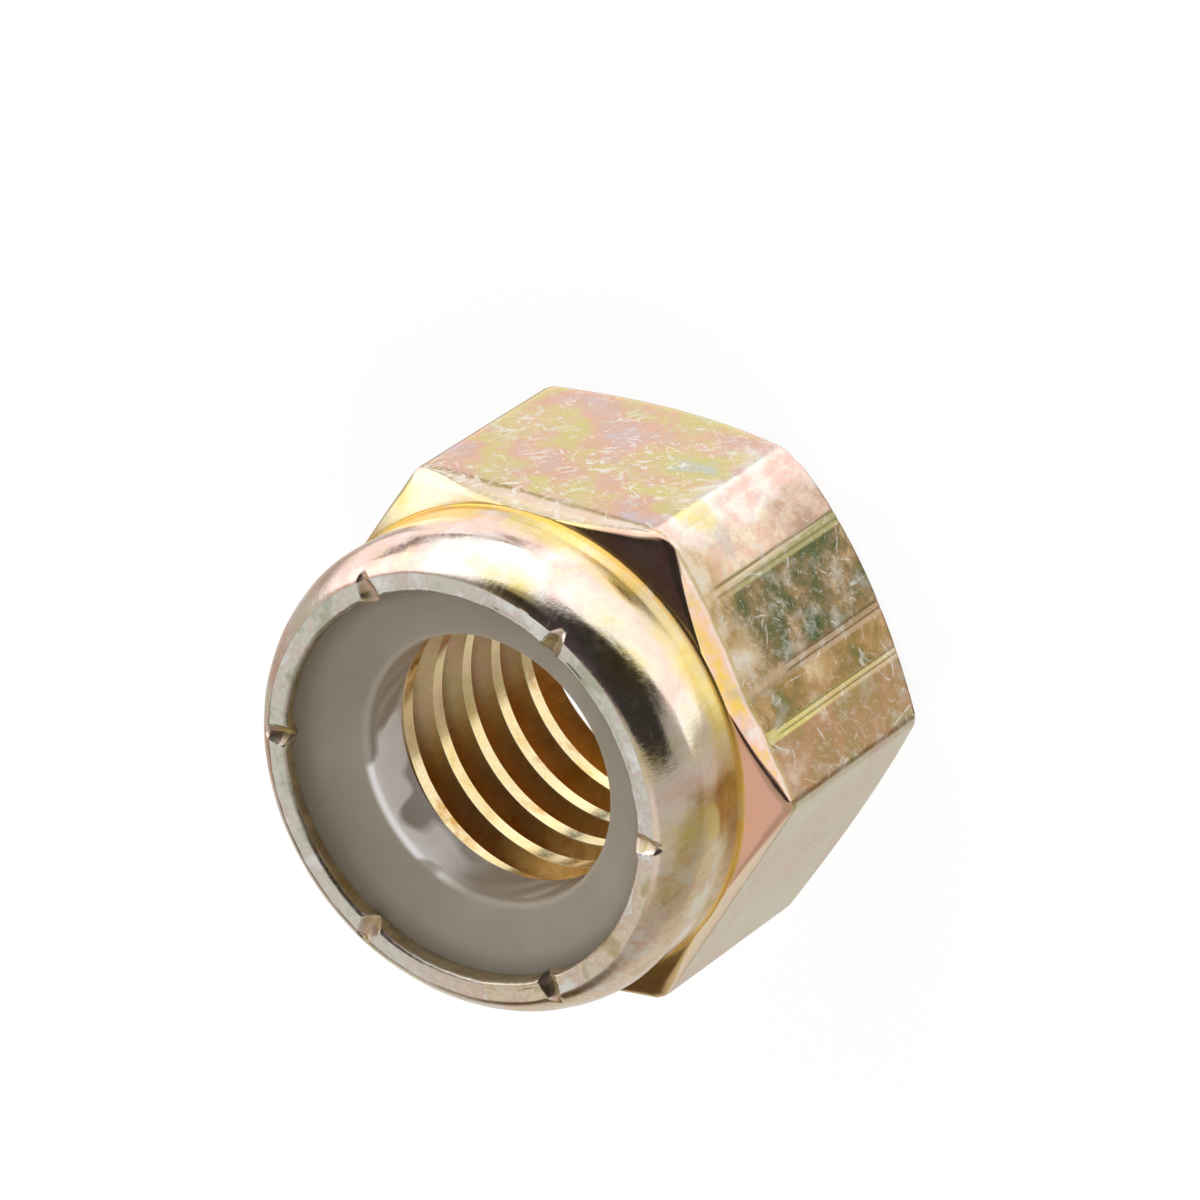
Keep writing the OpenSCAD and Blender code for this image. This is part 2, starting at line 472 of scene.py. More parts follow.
def tooth_reach(theta, r, z):
    """How far the nearest notch's punch has pushed a point of the lip inwards."""
    below = max(RIM_Z - z - NOTCH_DEPTH * 0.6, 0)
    sideways = math.exp(-(from_notch(theta, r) / TOOTH_HALF_W) ** 2)
    return TOOTH_REACH * sideways * math.exp(-(below / TOOTH_H) ** 2)


def worn_place(theta, r, z, zone):
    """Where a point of the neat outline lies on the cold-formed and crimped nut."""
    spot = Vector((math.cos(theta) * r, math.sin(theta) * r, z))
    if zone == "chamfer" and r > BEARING_R and z < CORNER_BOTTOM_Z:
        share = foot_share(theta)
        r = BEARING_R + (r - BEARING_R) * share
        z *= share
    if zone == "flat":
        wear = corner_wear(theta, z) + drawn_depth(theta, z)
        low_z = foot_z(theta)
        r -= wear + waved(FLAT_WAVES, spot)
        z -= wear * CHAMFER_SLOPE * (1 - smooth_step(low_z + SETTLE_START, low_z + SETTLE_END, z))
    if zone in ("shoulder", "wall"):
        rolled = Vector((math.cos(theta), math.sin(theta), 0)) * ROLLING_ROUND
        rolled.z = (z - r) * ROLLING_ACROSS
        r -= waved(COLLAR_WAVES, spot) + waved(ROLLING_WAVES, rolled)
        r -= waved(ROLLING_RIPPLES, rolled)
    if zone == "foot":
        r -= waved(FOOT_WAVES, spot)
    if zone == "rim":
        z -= waved(RIM_WAVES, spot) + waved(RAGGED_DOWN, spot)
    if zone in ("rim", "lip"):
        r += RAGGED_OUT[0] * noise.noise(spot * RAGGED_OUT[1])
    if zone in ("shoulder", "rim"):
        z -= notch_depth(theta, r)
    if zone == "lip":
        depth = notch_depth(theta, r)
        z = min(z, RIM_Z - depth) if depth else z
        r -= tooth_reach(theta, r, z) + waved(LIP_WAVES, spot)
    return r, z


def fresh_grid(columns, rows):
    """A grid of the given numbers of faces, with the column and row of each of its vertices."""
    bm = bmesh.new()
    bmesh.ops.create_grid(bm, x_segments=columns, y_segments=rows, size=1.0)
    places = {}
    for v in bm.verts:
        places[v] = (round((v.co.x + 1) / 2 * columns), round((v.co.y + 1) / 2 * rows))
    return bm, places


def face_zone(zone, turn, middle):
    """The zone of a face, once the lined flat, the notches and the lip's wall are told apart."""
    if zone == "flat" and 0 < turn < SIDE_ANGLE:
        return "lined flat"
    if zone in ("shoulder", "rim", "lip") and notch_depth(turn, middle.to_2d().length) > NOTCH_FACE:
        return "notch"
    if zone == "lip" and middle.z < RIM_Z - LIP_SHADE:
        return "lip wall"
    return zone


def build_sleeve():
    """A sheet bent to a closed sleeve, whose rows are drawn onto the nut's outline column by column."""
    collar = collar_stops()
    angles = column_angles()
    columns = [nut_rows(angle, collar) for angle in angles]
    row_count = len(columns[0])
    bm, places = fresh_grid(len(angles), row_count)
    for v, (i, j) in places.items():
        theta = angles[i % len(angles)]
        r, z = worn_place(theta, *columns[i % len(angles)][j % row_count])
        v.co = (r * math.cos(theta), r * math.sin(theta), z)
    for face in bm.faces:
        column = min(places[v][0] for v in face.verts)
        row = min(places[v][1] for v in face.verts)
        zone = face_zone(columns[0][row][2], angles[column], face.calc_center_median())
        face.material_index = ZONE_FINISH[zone]
    bmesh.ops.remove_doubles(bm, verts=bm.verts[:], dist=1e-6)
    bmesh.ops.recalc_face_normals(bm, faces=bm.faces[:])
    return bm


def groove_profile():
    """Half plane outline of the thread's groove, from its rounded root out past the crests' bevels."""
    knee_r = CREST_R + CREST_BEVEL
    half_knee = (PITCH - CREST_FLAT) / 2 - CREST_BEVEL
    tip_r = knee_r + half_knee * math.tan(FLANK_ANGLE)
    centre_r = tip_r - ROOT_ROUND / math.cos(FLANK_ANGLE)
    profile = []
    for k in range(ROOT_STEPS + 1):
        a = FLANK_ANGLE * k / ROOT_STEPS
        profile.append((centre_r + ROOT_ROUND * math.cos(a), ROOT_ROUND * math.sin(a)))
    half_past = half_knee + 2 * CREST_BEVEL
    profile += [(knee_r, half_knee), (CREST_R - CREST_BEVEL, half_past), (CREST_R - CUTTER_PAST, half_past)]
    return profile + [(r, -z) for r, z in reversed(profile[1:])]


def build_thread_cutter():
    """The helical groove of the thread, as a solid that is cut from the bore."""
    profile = groove_profile()
    base_z = CREST_Z + PITCH / 2 - TURNS_BELOW * PITCH
    bm, places = fresh_grid(TURN_STEPS * THREAD_TURNS, len(profile))
    for v, (i, j) in places.items():
        r, z = profile[j % len(profile)]
        theta = math.tau * i / TURN_STEPS
        v.co = (r * math.cos(theta), r * math.sin(theta), base_z + z + PITCH * i / TURN_STEPS)
    bmesh.ops.remove_doubles(bm, verts=bm.verts[:], dist=1e-6)
    bmesh.ops.holes_fill(bm, edges=[edge for edge in bm.edges if edge.is_boundary], sides=0)
    for face in bm.faces:
        face.material_index = ZONE_FINISH["bore"]
    bmesh.ops.recalc_face_normals(bm, faces=bm.faces[:])
    return bm


def to_object(bm, name, materials):
    """Turns a mesh in millimetres to an object in metres, with its materials."""
    bmesh.ops.scale(bm, vec=(MM, MM, MM), verts=bm.verts[:])
    mesh = bpy.data.meshes.new(name)
    bm.to_mesh(mesh)
    bm.free()
    for material in materials:
        mesh.materials.append(material)
    obj = bpy.data.objects.new(name, mesh)
    bpy.context.scene.collection.objects.link(obj)
    return obj


def cut_thread(nut, cutter):
    """Cuts the helical groove from the bore and keeps the result in the nut's own mesh."""
    cut = nut.modifiers.new("thread", "BOOLEAN")
    cut.operation = "DIFFERENCE"
    cut.solver = "MANIFOLD"
    cut.object = cutter
    bpy.context.view_layer.update()
    graph = bpy.context.evaluated_depsgraph_get()
    mesh = bpy.data.meshes.new_from_object(nut.evaluated_get(graph))
    nut.modifiers.clear()
    nut.data = mesh
    bpy.data.objects.remove(cutter)


def soften(obj, sharp_degrees):
    """Smooth shading, with edges past the given angle kept sharp."""
    bm = bmesh.new()
    bm.from_mesh(obj.data)
    for face in bm.faces:
        face.smooth = True
    for edge in bm.edges:
        if len(edge.link_faces) == 2:
            edge.smooth = edge.calc_face_angle() < math.radians(sharp_degrees)
    bm.to_mesh(obj.data)
    bm.free()


def ring_outline():
    """Outline of the ring: its seat, its side, the dished face and the rounded edge of its hole."""
    top_z = RIM_Z - RING_DROP - RING_DISH
    outer_r = LIP_R - RING_GAP
    outline = [
        (RING_HOLE_R, SEAT_Z + RING_GAP),
        (RING_R, SEAT_Z + RING_GAP),
        (RING_R, RIM_Z - LIP_DEPTH - LIP_FLARE - RING_GAP),
        (outer_r, RIM_Z - LIP_DEPTH - RING_GAP),
    ]
    for k in range(RING_FACE_STEPS + 1):
        t = 1 - k / RING_FACE_STEPS
        outline.append((along(RING_HOLE_R + RING_EDGE, outer_r, t), top_z + RING_DISH * t ** DISH_POWER))
    for k in range(1, RING_EDGE_STEPS + 1):
        a = math.radians(90) * k / RING_EDGE_STEPS
        outline.append((RING_HOLE_R + RING_EDGE * (1 - math.sin(a)), top_z - RING_EDGE * (1 - math.cos(a))))
    return outline


def press_up(bm):
    """Raises the ring's face towards its outer edge, most on the side where the crimp has pressed it up."""
    top_z = RIM_Z - RING_DROP - RING_DISH
    inner_r = RING_HOLE_R + RING_EDGE
    outer_r = LIP_R - RING_GAP
    for v in bm.verts:
        t = (v.co.to_2d().length - inner_r) / (outer_r - inner_r)
        if 0 < t < 1.001 and v.co.z > top_z + RING_DISH * t ** DISH_POWER - 0.01:
            turn = math.atan2(v.co.y, v.co.x) - SWELL_HEADING
            v.co.z += RING_SWELL * (0.5 + 0.5 * math.cos(turn)) ** 2 * t ** SWELL_POWER


def build_ring():
    """The plastic ring, spun from its outline and pressed up on one side."""
    outline = ring_outline()
    bm = bmesh.new()
    verts = [bm.verts.new((r, 0, z)) for r, z in outline]
    edges = [bm.edges.new((verts[k - 1], verts[k])) for k in range(len(verts))]
    bmesh.ops.spin(
        bm, geom=verts + edges, cent=(0, 0, 0), axis=(0, 0, 1),
        angle=math.tau, steps=RING_SPIN_STEPS, use_merge=True, use_duplicate=False,
    )
    bmesh.ops.remove_doubles(bm, verts=bm.verts[:], dist=1e-5)
    press_up(bm)
    bmesh.ops.recalc_face_normals(bm, faces=bm.faces[:])
    return bm


def linear(hex_colour):
    """An sRGB hex colour as the linear values that a shader takes."""
    parts = [int(hex_colour[k:k + 2], 16) / 255 for k in (1, 3, 5)]
    return tuple(c / 12.92 if c <= 0.04045 else ((c + 0.055) / 1.055) ** 2.4 for c in parts) + (1.0,)


def add(tree, kind, inputs=None, tones=(), **settings):
    """Adds a node with its settings, its constants and links, and on a ramp its (place, colour) tones."""
    node = tree.nodes.new(kind)
    for name, value in settings.items():
        setattr(node, name, value)
    for socket, value in (inputs or {}).items():
        if isinstance(value, bpy.types.NodeSocket):
            tree.links.new(value, node.inputs[socket])
        else:
            node.inputs[socket].default_value = value
    while tones and len(node.color_ramp.elements) < len(tones):
        node.color_ramp.elements.new(0.5)
    for k, (place, colour) in enumerate(tones):
        node.color_ramp.elements[k].position = place
        node.color_ramp.elements[k].color = linear(colour)
    return node


def blank_material(name):
    """A material whose nodes are only its output."""
    material = bpy.data.materials.new(name)
    material.use_nodes = True
    tree = material.node_tree
    tree.nodes.clear()
    output = add(tree, "ShaderNodeOutputMaterial")
    return material, tree, output


def per_mm(size):
    """The texture scale whose features are the given size in millimetres."""
    return 1 / (size * MM)


def reach_share(tree, place, measure, low, high, wander=0.0):
    """Rises from 0 to 1 between two distances in mm, along a heading or out from the nut's axis."""
    if measure == "radius":
        level = add(tree, "ShaderNodeVectorMath", {0: place, 1: (1, 1, 0)}, operation="MULTIPLY")
        reach = add(tree, "ShaderNodeVectorMath", {0: level.outputs[0]}, operation="LENGTH")
    else:
        reach = add(tree, "ShaderNodeVectorMath", {0: place, 1: measure}, operation="DOT_PRODUCT")
    reach = reach.outputs["Value"]
    if wander:
        drift = add(tree, "ShaderNodeTexNoise", {
            "Vector": place, "Scale": per_mm(WANDER_SIZE), "Detail": 3, "Roughness": 0.55,
        })
        drift = add(tree, "ShaderNodeMath", {0: drift.outputs["Fac"], 1: 0.5}, operation="SUBTRACT")
        reach = add(tree, "ShaderNodeMath", {
            0: drift.outputs[0], 1: 4 * wander * MM, 2: reach,
        }, operation="MULTIPLY_ADD").outputs[0]
    share = add(tree, "ShaderNodeMapRange", {
        "Value": reach, "From Min": low * MM, "From Max": high * MM,
    }, interpolation_type="SMOOTHSTEP")
    return share.outputs[0]


def film_noise(tree, place, patch, stretch=(1, 1, 1), fray=0.58):
    """How the thickness of the film shifts from patch to patch."""
    stretched = add(tree, "ShaderNodeMapping", {"Vector": place, "Scale": stretch}).outputs[0]
    film = add(tree, "ShaderNodeTexNoise", {
        "Vector": stretched, "W": 1.0, "Scale": per_mm(patch), "Detail": 6, "Roughness": fray,
        "Distortion": 0.2,
    }, noise_dimensions="4D")
    return film.outputs["Fac"]


def curled_scuffs(tree, place, strength):
    """Fine curved scratches, broken into short lengths."""
    marks = 0.0
    first_kept = 0.6 - 0.13 * strength
    for size, seed, width in SCUFF_CURLS:
        curl = add(tree, "ShaderNodeTexNoise", {
            "Vector": place, "W": seed, "Scale": per_mm(size), "Detail": 1, "Roughness": 0.3,
            "Distortion": 0.5,
        }, noise_dimensions="4D")
        ridge = add(tree, "ShaderNodeMath", {0: curl.outputs["Fac"], 1: 0.5}, operation="SUBTRACT")
        ridge = add(tree, "ShaderNodeMath", {0: ridge.outputs[0]}, operation="ABSOLUTE")
        line = add(tree, "ShaderNodeMapRange", {
            "Value": ridge.outputs[0], "From Min": width * 0.3, "From Max": width * 1.6,
            "To Min": 1.0, "To Max": 0.0,
        })
        breaks = add(tree, "ShaderNodeTexNoise", {
            "Vector": place, "W": seed, "Scale": per_mm(SCUFF_BREAKS), "Detail": 4, "Roughness": 0.7,
        }, noise_dimensions="4D")
        kept = add(tree, "ShaderNodeMapRange", {
            "Value": breaks.outputs["Fac"], "From Min": first_kept, "From Max": first_kept + 0.12,
            "To Max": strength,
        })
        mark = add(tree, "ShaderNodeMath", {0: line.outputs[0], 1: kept.outputs[0]}, operation="MULTIPLY")
        marks = add(tree, "ShaderNodeMath", {0: marks, 1: mark.outputs[0]}, operation="MAXIMUM").outputs[0]
    return marks


def handling_strokes(tree, place, strength):
    """Broad, feathered strokes in clusters, where the flats have rubbed in handling."""
    strokes = 0.0
    for turn in STROKE_TURNS:
        drawn_out = add(tree, "ShaderNodeMapping", {
            "Vector": place, "Rotation": turn, "Scale": STROKE_STRETCH,
        }, vector_type="TEXTURE")
        fibres = add(tree, "ShaderNodeTexNoise", {
            "Vector": drawn_out.outputs[0], "Scale": per_mm(STROKE_SIZE), "Detail": 3, "Roughness": 0.55,
            "Distortion": 0.45,
        })
        share = add(tree, "ShaderNodeMapRange", {
            "Value": fibres.outputs["Fac"], "From Min": 0.57, "From Max": 0.68, "To Max": strength,
        })
        strokes = add(tree, "ShaderNodeMath", {
            0: strokes, 1: share.outputs[0],
        }, operation="MAXIMUM").outputs[0]
    cluster = add(tree, "ShaderNodeTexNoise", {
        "Vector": place, "Scale": per_mm(STROKE_CLUSTER), "Detail": 2,
    })
    share = add(tree, "ShaderNodeMapRange", {
        "Value": cluster.outputs["Fac"], "From Min": 0.42, "From Max": 0.56,
    })
    return add(tree, "ShaderNodeMath", {0: strokes, 1: share.outputs[0]}, operation="MULTIPLY").outputs[0]


def bright_specks(tree, place, strength):
    """Tiny dents and nicks that catch the light."""
    dots = add(tree, "ShaderNodeTexNoise", {
        "Vector": place, "Scale": per_mm(SPECK_SIZE), "Detail": 2, "Roughness": 0.6,
    })
    share = add(tree, "ShaderNodeMapRange", {
        "Value": dots.outputs["Fac"], "From Min": 0.66, "From Max": 0.74, "To Max": strength,
    })
    return share.outputs[0]


def bared_metal(tree, place, scuffs, specks, strokes):
    """Scuffs, specks and strokes together, where the film is rubbed down to paler metal."""
    marks = curled_scuffs(tree, place, scuffs)
    for kind, strength in ((bright_specks, specks), (handling_strokes, strokes)):
        if strength:
            mark = kind(tree, place, strength)
            marks = add(tree, "ShaderNodeMath", {0: marks, 1: mark}, operation="MAXIMUM").outputs[0]
    return marks


def haze_patches(tree, place, strength):
    """Pale patches where handling has dulled the film."""
    haze = add(tree, "ShaderNodeTexNoise", {
        "Vector": place, "W": 9.0, "Scale": per_mm(HAZE_SIZE), "Detail": 5, "Roughness": 0.62,
    }, noise_dimensions="4D")
    share = add(tree, "ShaderNodeMapRange", {
        "Value": haze.outputs["Fac"], "From Min": 0.53, "From Max": 0.68, "To Max": strength,
    })
    return share.outputs[0]


def metal_grain(tree, place, drawn):
    """Height of the fine grain under the film, with streaks drawn out by the given scale."""
    grain = add(tree, "ShaderNodeTexNoise", {
        "Vector": place, "Scale": per_mm(GRAIN_SIZE), "Detail": 4, "Roughness": 0.65,
    })
    drawn_out = add(tree, "ShaderNodeMapping", {"Vector": place, "Scale": drawn})
    streaks = add(tree, "ShaderNodeTexNoise", {
        "Vector": drawn_out.outputs[0], "Scale": per_mm(STREAK_SIZE), "Detail": 3, "Roughness": 0.6,
    })
    height = add(tree, "ShaderNodeMath", {
        0: grain.outputs["Fac"], 1: streaks.outputs["Fac"],
    }, operation="ADD")
    return height.outputs[0]


def with_grain(tree, grain, low, high):
    """A value that goes from low to high as the grain rises."""
    value = add(tree, "ShaderNodeMapRange", {
        "Value": grain, "From Min": GRAIN_LOW, "From Max": GRAIN_HIGH, "To Min": low, "To Max": high,
    })
    return value.outputs[0]


def layer(measure, low, high, tones, strength=1.0, stretch=None, wander=0.0):
    """Film tones laid over the others where the measure passes from low to high, in mm."""
    return {
        "measure": measure, "low": low, "high": high, "tones": tones,
        "strength": strength, "stretch": stretch, "wander": wander,
    }


def film_colour(tree, place, patch, tones, layers, fray):
    """Colour of the film: its main tones, with each layer's tones laid over them in turn."""
    film = film_noise(tree, place, patch, fray=fray)
    colour = add(tree, "ShaderNodeValToRGB", {"Fac": film}, tones).outputs["Color"]
    for part in layers:
        share = reach_share(tree, place, part["measure"], part["low"], part["high"], part["wander"])
        share = add(tree, "ShaderNodeMath", {0: share, 1: part["strength"]}, operation="MULTIPLY").outputs[0]
        source = film_noise(tree, place, patch, part["stretch"]) if part["stretch"] else film
        tone = add(tree, "ShaderNodeValToRGB", {"Fac": source}, part["tones"]).outputs["Color"]
        colour = add(tree, "ShaderNodeMix", {
            0: share, UNDER: colour, OVER: tone,
        }, data_type="RGBA").outputs[MIXED]
    return colour


def zinc_plate(name, patch, tones, layers=(), drawn=(1, 1, 1), mottle=0.08, rough=(0.12, 0.24),
               satin=None, relief=0.004, scuffs=0.4, haze=0.3, fray=0.58, specks=0.0, strokes=0.0):
    """Yellow zinc plate: a passivated film in shifting tones, with grain, haze and bright scuffs."""
    material, tree, output = blank_material(name)
    place = add(tree, "ShaderNodeTexCoord").outputs["Object"]
    colour = film_colour(tree, place, patch, tones, layers, fray)
    dulled = haze_patches(tree, place, haze)
    colour = add(tree, "ShaderNodeMix", {
        0: dulled, UNDER: colour, OVER: linear(HAZE_TONE),
    }, data_type="RGBA").outputs[MIXED]
    grain = metal_grain(tree, place, drawn)
    shade = with_grain(tree, grain, 1 - mottle, 1 + mottle * 0.5)
    colour = add(tree, "ShaderNodeVectorMath", {0: colour, "Scale": shade}, operation="SCALE").outputs[0]
    bared = bared_metal(tree, place, scuffs, specks, strokes)
    colour = add(tree, "ShaderNodeMix", {
        0: bared, UNDER: colour, OVER: linear(SCUFF_TONE),
    }, data_type="RGBA").outputs[MIXED]
    marked = add(tree, "ShaderNodeMath", {0: dulled, 1: bared}, operation="MAXIMUM").outputs[0]
    roughness = with_grain(tree, grain, *rough)
    roughness = add(tree, "ShaderNodeMix", {0: marked, 2: roughness, 3: MARK_ROUGHNESS}).outputs[0]
    if satin:
        *limits, satin_rough = satin
        share = reach_share(tree, place, *limits)
        roughness = add(tree, "ShaderNodeMix", {0: share, 2: roughness, 3: satin_rough}).outputs[0]
    bump = add(tree, "ShaderNodeBump", {"Height": grain, "Strength": 0.5, "Distance": relief * MM})
    shader = add(tree, "ShaderNodeBsdfPrincipled", {
        "Base Color": colour, "Metallic": 1.0, "Roughness": roughness, "Normal": bump.outputs[0],
    })
    tree.links.new(shader.outputs[0], output.inputs["Surface"])
    return material


def worn_corner_layer():
    """Film thinned to cream and pink where the corner at 60 degrees is worn."""
    tones = [(0.38, "#F8E2A0"), (0.5, "#FBF1E6"), (0.6, "#F6CDBE")]
    return layer(WORN_HEADING, 10.15, 10.5, tones, 1.0, (1, 1, 1), 0.3)


def crease_shade_and_facet_layers():
    """Painted shade as an olive line along the crease, and a paler facet above it."""
    return [
        # Painted shade: olive line along the crease
        layer(UP, 9.46, 9.56, [(0.4, "#B09E64"), (0.6, "#C4A878")], 0.75),
        layer(UP, 9.62, 9.8, [(0.4, "#F2D0B8"), (0.6, "#F8E6D4")], 0.95, wander=0.1),
    ]


def zinc_on_drawn_flats():
    """Zinc over bright drawn bar: even pastel tones under fine pale strokes from handling."""
    return zinc_plate(
        "zinc_on_drawn_flats", 2.6,
        [
            (0.34, "#D2D1BE"), (0.42, "#E4D488"), (0.48, "#E9CD96"), (0.53, "#EEBEA2"), (0.59, "#E8BEAC"),
            (0.67, "#DCCDD2"),
        ],
        layers=[
            # Painted shade: greyer tones on the flat that faces -30 degrees
            layer(SHADED_HEADING, 9.2, 9.4, [(0.35, "#D9D5C8"), (0.5, "#CFC9BC"), (0.62, "#D9C3B4")], 0.8),
            worn_corner_layer(),
            *crease_shade_and_facet_layers(),
            layer(UP, 9.95, 10.3, [(0.4, "#F8E6B0"), (0.6, "#F8E0CC")], 0.75, wander=0.1),
        ],
        drawn=(1, 1, 0.05), mottle=0.04, rough=(0.2, 0.3), relief=0.0012, scuffs=0.8, haze=0.3,
        strokes=0.95,
    )


def zinc_on_turned_chamfers():
    """Zinc over turned chamfers and the bearing face: the brightest finish, nearly free of marks, with a
    painted highlight on the chamfer at 120 degrees and painted shade on the one at 300 degrees.
    """
    return zinc_plate(
        "zinc_on_turned_chamfers", 4.0,
        [(0.32, "#F2DC9C"), (0.45, "#F2E2C4"), (0.55, "#EBBCA8"), (0.68, "#E4D09C")],
        layers=[
            layer("radius", 9.95, 9.5, [(0.4, "#FBE08A"), (0.6, "#F8D89A")], 0.75),
            layer((1, 0, 0), 8.2, 9.0, [(0.4, "#F4BEA6"), (0.6, "#F0C9B0")], 0.9),
            # Painted shade: darker olive gold on the chamfer at 300 degrees, away from the light
            layer((0.5, -0.866, 0), 9.0, 9.7, [(0.4, "#D8BC70"), (0.6, "#CCAA70")], 0.85),
            # Painted highlight: paler cream on the chamfer at 120 degrees, towards the light
            layer(
                (-0.5, 0.866, 0), 9.0, 9.7, [(0.35, "#F4DC96"), (0.5, "#F8EED2"), (0.65, "#F6D2BC")], 0.9,
            ),
        ],
        mottle=0.05, rough=(0.1, 0.18), scuffs=0.2, haze=0.1,
    )


def zinc_on_crimped_collar():
    """Zinc over the rolled collar: mirror-bright above, satin and golden towards its foot."""
    return zinc_plate(
        "zinc_on_crimped_collar", 3.0,
        [
            (0.26, "#F2DE94"), (0.36, "#F8EBC4"), (0.48, "#FAF0E8"), (0.55, "#F8DCCF"), (0.61, "#F2CDBE"),
            (0.70, "#EFE2BC"),
        ],
        layers=[
            layer(
                (0.64, 0.77, 0), 8.6, 9.3, [(0.4, "#F8E08C"), (0.5, "#FBEFCB"), (0.6, "#F9E4D6")],
                0.6, wander=0.3,
            ),
            layer(
                UP, 12.8, 11.6, [(0.43, "#F6DA6C"), (0.5, "#F8E2A0"), (0.56, "#F3CDB4"), (0.63, "#F6E6DA")],
                0.8, (1, 1, 0.4), 0.3,
            ),
            layer(
                (0.985, -0.17, 0), 8.5, 9.1, [(0.38, "#A87C34"), (0.48, "#D6C058"), (0.6, "#BE9C4C")],
                0.85, (1, 1, 0.3), 0.3,
            ),
            # Painted shade: greyer blotches on the collar's side away from the light
            layer(SHADE_BLOTCH_HEADING, 5.0, 7.6, SHADE_BLOTCHES, 0.75, (2.5, 2.5, 2.5), 0.3),
            layer(UP, 11.1, 10.98, [(0.4, "#F6CE5E"), (0.6, "#F2BE66")], 0.9),
        ],
        drawn=(1, 1, 0.3), mottle=0.08, rough=(0.1, 0.2), satin=(UP, 12.4, 11.7, 0.3), relief=0.01,
        scuffs=0.5, haze=0.35,
    )


def zinc_on_rolled_rim():
    """Zinc over the rim that the crimping tool has burnished: greyish silver, mottled and nicked."""
    return zinc_plate(
        "zinc_on_rolled_rim", 1.2,
        [(0.36, "#BCBCA8"), (0.46, "#DAD8CC"), (0.54, "#DACBC2"), (0.62, "#EAE9E4")],
        # Painted shade: greyer blotches on the rim's side away from the light
        layers=[layer(SHADE_BLOTCH_HEADING, 4.5, 6.8, SHADE_BLOTCHES, 0.85, (1, 1, 1), 0.3)],
        mottle=0.16, rough=(0.24, 0.38), relief=0.01, scuffs=0.5, haze=0.4, specks=0.5,
    )


def zinc_on_tapped_thread():
    """Zinc in the tapped bore: bright straw crests, satin grooves painted a deeper amber as shade and light
    bounced between the flanks, and paler tones painted as light on one side.
    """
    return zinc_plate(
        "zinc_on_tapped_thread", 1.6,
        [(0.32, "#E2BC70"), (0.44, "#F2DAA0"), (0.56, "#F4E2B4"), (0.68, "#D9A85E")],
        layers=[
            # Painted shade and bounced light: deeper amber tones in the grooves, away from the crests
            layer("radius", 5.51, 5.56, [(0.35, "#DCA850"), (0.5, "#ECBE70"), (0.65, "#D49A4C")]),
            # Painted light: paler tones on the side of the bore that faces (-0.94, 0.34)
            layer((-0.94, 0.34, 0), 3.8, 5.2, [(0.4, "#E2D8A4"), (0.6, "#F0D4B0")], 0.95),
        ],
        mottle=0.12, rough=(0.1, 0.22), satin=("radius", 5.502, 5.53, 0.42), relief=0.003, scuffs=0.2,
        haze=0.1,
    )


def die_line_layers():
    """Tones across the lined flat, which change at each band of die lines and towards its two ends."""
    return [
        layer(UP, 5.2, 2.4, [(0.38, "#8A6C54"), (0.48, "#B08A74"), (0.58, "#DCB8A4")], 0.75, wander=0.5),
        layer(
            SIDE_TANGENT, 3.04, 2.96,
            [(0.38, "#F2E4C4"), (0.47, "#BFB47E"), (0.55, "#E6CCB0"), (0.63, "#A8A070")],
            1.0, (2, 2, 0.1),
        ),
        layer(
            SIDE_TANGENT, 2.42, 2.32,
            [(0.38, "#3E5634"), (0.45, "#6A6642"), (0.52, "#8E7650"), (0.6, "#C0A27A")],
        ),
        layer(
            UP, 7.4, 8.8,
            [(0.36, "#8E8054"), (0.45, "#B8935E"), (0.54, "#D2BC98"), (0.64, "#D8D4C8")],
            0.75, wander=0.5,
        ),
        layer(
            SIDE_TANGENT, -0.4, -1.6,
            [(0.36, "#7E7444"), (0.46, "#9E7E4E"), (0.55, "#B8966A"), (0.65, "#D0BC94")],
            0.95, wander=0.4,
        ),
        layer(
            SIDE_TANGENT, -0.74, -0.8,
            [(0.38, "#8A7450"), (0.48, "#C4A888"), (0.56, "#9C8460"), (0.64, "#D8C8A8")],
            0.7, (2, 2, 0.1),
        ),
        layer(
            SIDE_TANGENT, -1.3, -1.36,
            [(0.38, "#7A7040"), (0.47, "#9E7E4E"), (0.55, "#B8966A"), (0.64, "#D0BC94")],
        ),
        layer(
            SIDE_TANGENT, -2.54, -2.62,
            [(0.36, "#E2D68C"), (0.47, "#B8AC68"), (0.56, "#D8CC80"), (0.64, "#C8A480")],
            0.85, (2, 2, 0.1),
        ),
        layer(
            SIDE_TANGENT, -3.02, -3.1,
            [(0.36, "#9A8C58"), (0.46, "#A4845A"), (0.55, "#B28A66"), (0.65, "#CDB49C")],
        ),
    ]


def zinc_on_die_lined_flat():
    """Zinc over the flat that the die has scored: brown and green bands between pale yellow lines."""
    return zinc_plate(
        "zinc_on_die_lined_flat", 2.6,
        [(0.30, "#B8967C"), (0.40, "#F2DCC0"), (0.49, "#E4BCA4"), (0.57, "#F4E4C4"), (0.68, "#A88C74")],
        layers=[
            *die_line_layers(),
            worn_corner_layer(),
            *crease_shade_and_facet_layers(),
            layer(
                UP, 9.75, 9.95,
                [(0.42, "#F8CE54"), (0.49, "#F6CE88"), (0.55, "#F6CCBC"), (0.62, "#F4ECE0")],
                0.95, wander=0.15,
            ),
        ],
        drawn=(1, 1, 0.05), mottle=0.12, rough=(0.16, 0.28), relief=0.005, scuffs=0.7, haze=0.55,
        fray=0.68, specks=0.45, strokes=0.2,
    )


